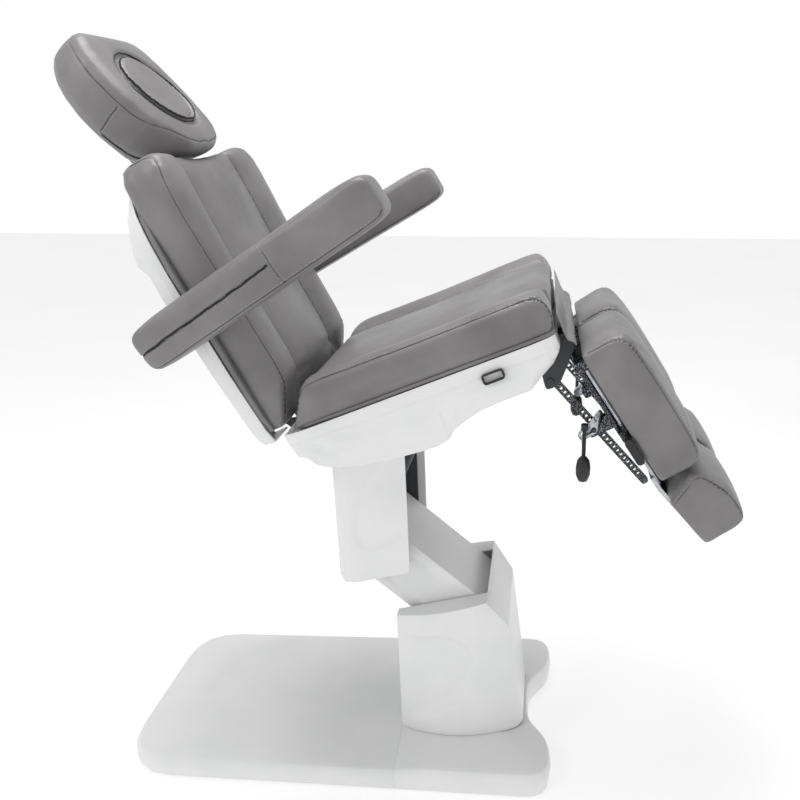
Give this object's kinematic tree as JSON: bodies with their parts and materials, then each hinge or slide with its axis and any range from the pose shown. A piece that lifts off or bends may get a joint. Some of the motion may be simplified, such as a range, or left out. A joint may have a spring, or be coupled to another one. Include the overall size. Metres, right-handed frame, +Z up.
{
  "type": "podiatry chair",
  "caption": "Motor-lifted podiatry chair with a parallelogram arm, tilting seat, reclining back, headrest, swing-up armrests and split leg rests with pull-out foot pads.",
  "frame": {"origin": "middle of the floor footprint of the whole chair's box, at floor height", "axes": "+Z up, +X towards the sitter's feet, -Y the sitter's right-hand side"},
  "size_m": [1.3508, 0.686, 1.5795],
  "materials": {
    "white_cover": "satin-gloss moulded covers",
    "vinyl": "soft grey vinyl with a low sheen",
    "frame_paint": "dark powder coat",
    "bright_steel": "plated steel",
    "black_plastic": "black moulded plastic",
    "foot_rubber": "black rubber",
    "plywood": "raw plywood"
  },
  "bodies": {
    "base": {"base_plate": "frame_paint", "rear_foot_right": "foot_rubber", "rear_foot_left": "foot_rubber", "front_foot_right": "foot_rubber", "front_foot_left": "foot_rubber", "rear_base_cover": "white_cover", "front_base_cover": "white_cover", "column_frame": "frame_paint", "column_cover": "white_cover", "lift_arm_pin": "bright_steel", "lower_link_pin": "bright_steel"},
    "lift_arm": {"arm_frame": "frame_paint", "arm_cover": "white_cover"},
    "lower_link": {"lower_link": "frame_paint", "link_cover": "white_cover"},
    "lift_motor": {"lift_motor": "frame_paint"},
    "lift_motor_rod": {"lift_motor_rod": "bright_steel"},
    "bracket": {"bracket_frame": "frame_paint", "bracket_cover": "white_cover", "upper_arm_pin": "bright_steel", "upper_link_pin": "bright_steel", "tilt_pin_right": "bright_steel", "tilt_pin_left": "bright_steel"},
    "tilt_motor": {"tilt_motor": "frame_paint"},
    "tilt_motor_rod": {"tilt_motor_rod": "bright_steel"},
    "seat": {"seat_frame": "frame_paint", "seat_board": "plywood", "seat_shell": "white_cover", "seat_cushion": "vinyl", "front_apron": "vinyl", "handset_hook": "black_plastic", "back_hinge_pin_right": "bright_steel", "back_hinge_pin_left": "bright_steel"},
    "back_motor": {"back_motor": "frame_paint"},
    "back_motor_rod": {"back_motor_rod": "bright_steel"},
    "back": {"back_frame": "frame_paint", "back_board": "plywood", "back_shell": "white_cover", "back_cushion": "vinyl"},
    "headrest_bars": {"headrest_bars": "bright_steel"},
    "headrest": {"headrest_carrier": "frame_paint", "headrest_pad": "vinyl", "headrest_panel": "vinyl"},
    "armrest_right": {"armrest_right": "vinyl"},
    "leg_right": {"leg_frame_right": "bright_steel", "leg_pad_right": "vinyl"},
    "leg_strut_right": {"leg_strut_right": "bright_steel"},
    "leg_lever_right": {"leg_lever_right": "black_plastic"},
    "foot_right": {"foot_slide_right": "bright_steel", "foot_pad_right": "vinyl"},
    "foot_clamp_right": {"foot_clamp_right": "black_plastic"},
    "armrest_left": {"armrest_left": "vinyl"},
    "leg_left": {"leg_frame_left": "bright_steel", "leg_pad_left": "vinyl"},
    "leg_strut_left": {"leg_strut_left": "bright_steel"},
    "leg_lever_left": {"leg_lever_left": "black_plastic"},
    "foot_left": {"foot_slide_left": "bright_steel", "foot_pad_left": "vinyl"},
    "foot_clamp_left": {"foot_clamp_left": "black_plastic"}
  },
  "joints": [
    {"name": "lift", "type": "hinge", "parent": "base", "child": "lift_arm", "pos_m": [0.17058, 0, 0.345], "axis": [0, 1, 0], "range_deg": [-46, 6]},
    {"name": "link_turn", "type": "hinge", "parent": "base", "child": "lower_link", "pos_m": [0.17058, 0, 0.259], "axis": [0, 1, 0], "range_deg": [-46, 6]},
    {"name": "bracket_level", "type": "hinge", "parent": "lift_arm", "child": "bracket", "pos_m": [-0.08635, 0, 0.57072], "axis": [0, 1, 0], "range_deg": [-6, 46]},
    {"name": "lift_motor_turn", "type": "hinge", "parent": "base", "child": "lift_motor", "pos_m": [0.17058, 0, 0.259], "axis": [0, 1, 0], "range_deg": [-43.5, 5.5]},
    {"name": "lift_motor_stroke", "type": "slide", "parent": "lift_motor", "child": "lift_motor_rod", "axis": [-0.6336, 0, 0.7736], "range_m": [-0.0616, 0.0076]},
    {"name": "seat_tilt", "type": "hinge", "parent": "bracket", "child": "seat", "pos_m": [-0.08042, 0, 0.842], "axis": [0, -1, 0], "range_deg": [-22, 3]},
    {"name": "tilt_motor_turn", "type": "hinge", "parent": "bracket", "child": "tilt_motor", "pos_m": [-0.06435, 0, 0.63972], "axis": [0, -1, 0], "range_deg": [-9.5, 1.4]},
    {"name": "tilt_motor_stroke", "type": "slide", "parent": "tilt_motor", "child": "tilt_motor_rod", "axis": [0.4099, 0, 0.9121], "range_m": [-0.0422, 0.0059]},
    {"name": "back_recline", "type": "hinge", "parent": "seat", "child": "back", "pos_m": [-0.20988, 0, 0.85009], "axis": [0, -1, 0], "range_deg": [0, 82]},
    {"name": "back_motor_turn", "type": "hinge", "parent": "seat", "child": "back_motor", "pos_m": [0.092, -0.046, 0.92245], "axis": [0, -1, 0], "range_deg": [0, 2.7]},
    {"name": "back_motor_stroke", "type": "slide", "parent": "back_motor", "child": "back_motor_rod", "axis": [0.9533, 0, 0.3021], "range_m": [0, 0.0442]},
    {"name": "headrest_slide", "type": "slide", "parent": "back", "child": "headrest_bars", "axis": [-0.4431, 0, 0.8965], "range_m": [0, 0.1]},
    {"name": "headrest_tilt", "type": "hinge", "parent": "headrest_bars", "child": "headrest", "pos_m": [-0.4948, 0, 1.32502], "axis": [0, -1, 0], "range_deg": [0, 35]},
    {"name": "armrest_right_swing", "type": "hinge", "parent": "back", "child": "armrest_right", "pos_m": [-0.36273, -0.3, 1.06457], "axis": [0, -1, 0], "range_deg": [0, 83]},
    {"name": "leg_right_swing", "type": "hinge", "parent": "seat", "child": "leg_right", "pos_m": [0.32113, -0.1195, 1.03336], "axis": [0, -1, 0], "range_deg": [0, 79]},
    {"name": "leg_strut_right_turn", "type": "hinge", "parent": "seat", "child": "leg_strut_right", "pos_m": [0.29115, -0.1195, 0.95006], "axis": [0, -1, 0], "range_deg": [0, 77]},
    {"name": "leg_lever_right_pull", "type": "hinge", "parent": "leg_right", "child": "leg_lever_right", "pos_m": [0.37987, -0.014, 0.84376], "axis": [0, -1, 0], "range_deg": [0, 18], "stiffness_Nm_per_rad": 2, "springref_deg": -5.73},
    {"name": "foot_right_pull", "type": "slide", "parent": "leg_right", "child": "foot_right", "axis": [0.5446, 0, -0.8387], "range_m": [0, 0.11]},
    {"name": "foot_clamp_right_turn", "type": "hinge", "parent": "leg_right", "child": "foot_clamp_right", "pos_m": [0.43938, -0.1075, 0.85678], "axis": [0, 1, 0], "range_deg": [0, 60]},
    {"name": "armrest_left_swing", "type": "hinge", "parent": "back", "child": "armrest_left", "pos_m": [-0.36273, 0.3, 1.06457], "axis": [0, -1, 0], "range_deg": [0, 80]},
    {"name": "leg_left_swing", "type": "hinge", "parent": "seat", "child": "leg_left", "pos_m": [0.32113, 0.1195, 1.03336], "axis": [0, -1, 0], "range_deg": [0, 79]},
    {"name": "leg_strut_left_turn", "type": "hinge", "parent": "seat", "child": "leg_strut_left", "pos_m": [0.29115, 0.1195, 0.95006], "axis": [0, -1, 0], "range_deg": [0, 77]},
    {"name": "leg_lever_left_pull", "type": "hinge", "parent": "leg_left", "child": "leg_lever_left", "pos_m": [0.37987, 0.014, 0.84376], "axis": [0, -1, 0], "range_deg": [0, 18], "stiffness_Nm_per_rad": 2, "springref_deg": -5.73},
    {"name": "foot_left_pull", "type": "slide", "parent": "leg_left", "child": "foot_left", "axis": [0.5446, 0, -0.8387], "range_m": [0, 0.11]},
    {"name": "foot_clamp_left_turn", "type": "hinge", "parent": "leg_left", "child": "foot_clamp_left", "pos_m": [0.43938, 0.1075, 0.85678], "axis": [0, 1, 0], "range_deg": [0, 60]}
  ],
  "couplings": [
    {"joint": "link_turn", "follows": "lift", "ratio": 1},
    {"joint": "bracket_level", "follows": "lift", "ratio": -1},
    {"joint": "lift_motor_turn", "follows": "lift", "ratio": 0.8643},
    {"joint": "lift_motor_stroke", "follows": "lift", "m_per_rad": 0.07031},
    {"joint": "tilt_motor_turn", "follows": "seat_tilt", "ratio": 0.4264},
    {"joint": "tilt_motor_stroke", "follows": "seat_tilt", "m_per_rad": 0.10937},
    {"joint": "back_motor_turn", "follows": "back_recline", "ratio": 0.0313},
    {"joint": "back_motor_stroke", "follows": "back_recline", "m_per_rad": 0.03074},
    {"joint": "leg_strut_right_turn", "follows": "leg_right_swing", "ratio": 0.9735},
    {"joint": "leg_strut_left_turn", "follows": "leg_left_swing", "ratio": 0.9735}
  ]
}
